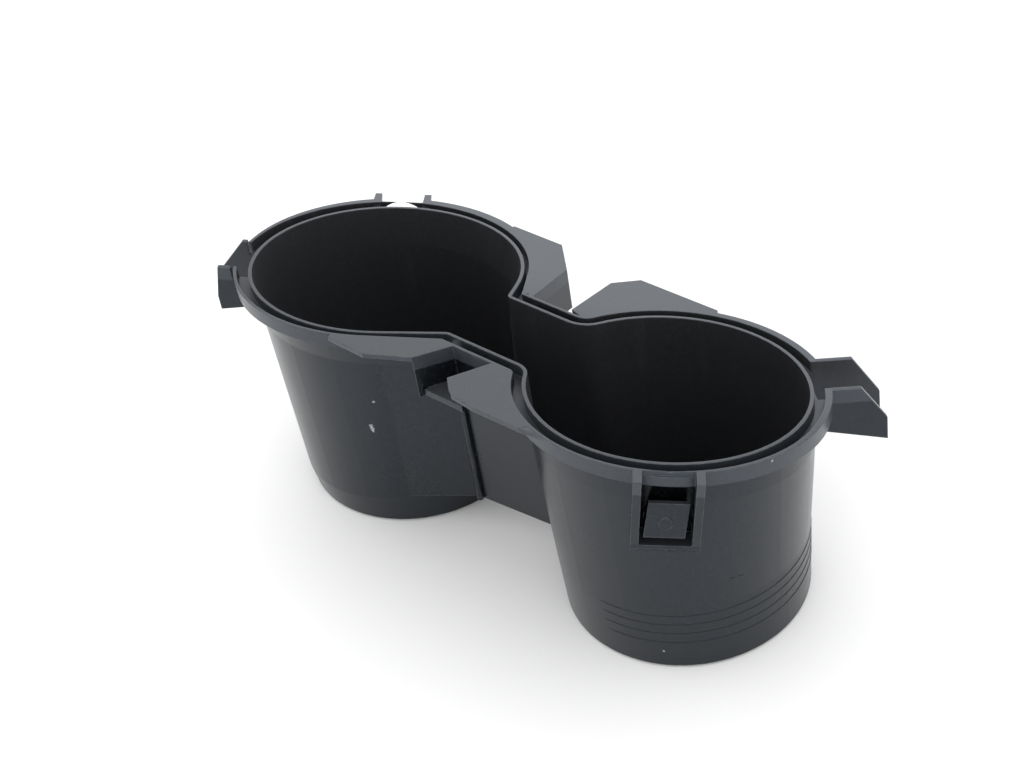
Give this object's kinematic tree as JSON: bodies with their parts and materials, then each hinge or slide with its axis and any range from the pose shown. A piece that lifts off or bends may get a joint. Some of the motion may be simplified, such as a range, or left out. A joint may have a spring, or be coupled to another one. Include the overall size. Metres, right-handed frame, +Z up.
{
  "type": "car cup holder",
  "caption": "Twin cup holder insert for a car console: round tapered cups joined by an open neck, with a sloping guttered rim, snap pockets, guide fins and tabs.",
  "frame": {"origin": "on the standing face, under the middle of the part's bounds, close to midway between the two cups", "axes": "+X from the left cup to the right cup, +Y to the low back of the rim, +Z up"},
  "size_m": [0.2138, 0.099, 0.086],
  "materials": {
    "black_plastic": "satin moulded grain"
  },
  "bodies": {
    "root": {"cup_holder": "black_plastic"}
  },
  "joints": []
}
